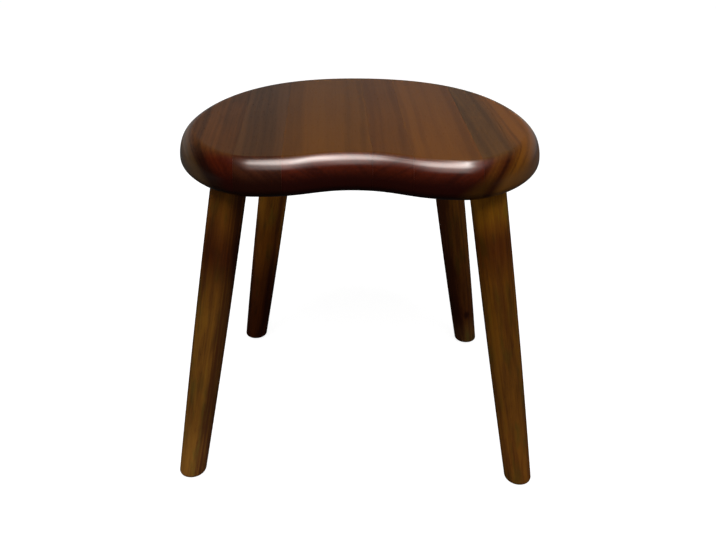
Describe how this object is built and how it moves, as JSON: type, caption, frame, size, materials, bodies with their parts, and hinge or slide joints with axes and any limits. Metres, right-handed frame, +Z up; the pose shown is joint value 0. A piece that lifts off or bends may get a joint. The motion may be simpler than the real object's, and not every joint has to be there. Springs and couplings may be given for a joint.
{
  "type": "footstool",
  "caption": "Low footstool with a thick kidney-shaped lacquered wooden seat, glued up from boards, on splayed tapered round legs that screw into its underside.",
  "frame": {"origin": "on the floor, at the middle of the stool's length and width", "axes": "+Z up, +X to the right across the seat, +Y towards its back edge; the notch in the seat faces -Y"},
  "size_m": [0.3632, 0.3146, 0.34],
  "materials": {
    "amber_board": "glossy lacquer over orange-brown wood",
    "umber_board": "glossy lacquer over grey-brown wood",
    "honey_board": "glossy lacquer over light brown wood",
    "russet_board": "glossy lacquer over reddish brown wood",
    "leg_wood": "matt stain, olive brown",
    "plated_steel": "zinc plated"
  },
  "bodies": {
    "root": {"seat_board_1": "amber_board", "seat_board_2": "umber_board", "seat_board_3": "honey_board", "seat_board_4": "russet_board", "seat_board_5": "honey_board", "seat_board_6": "umber_board", "seat_board_7": "amber_board", "leg_front_left": "leg_wood", "leg_front_right": "leg_wood", "leg_back_left": "leg_wood", "leg_back_right": "leg_wood", "hanger_bolt_front_left": "plated_steel", "hanger_bolt_front_right": "plated_steel", "hanger_bolt_back_left": "plated_steel", "hanger_bolt_back_right": "plated_steel", "threaded_insert_front_left": "plated_steel", "threaded_insert_front_right": "plated_steel", "threaded_insert_back_left": "plated_steel", "threaded_insert_back_right": "plated_steel"}
  },
  "joints": []
}
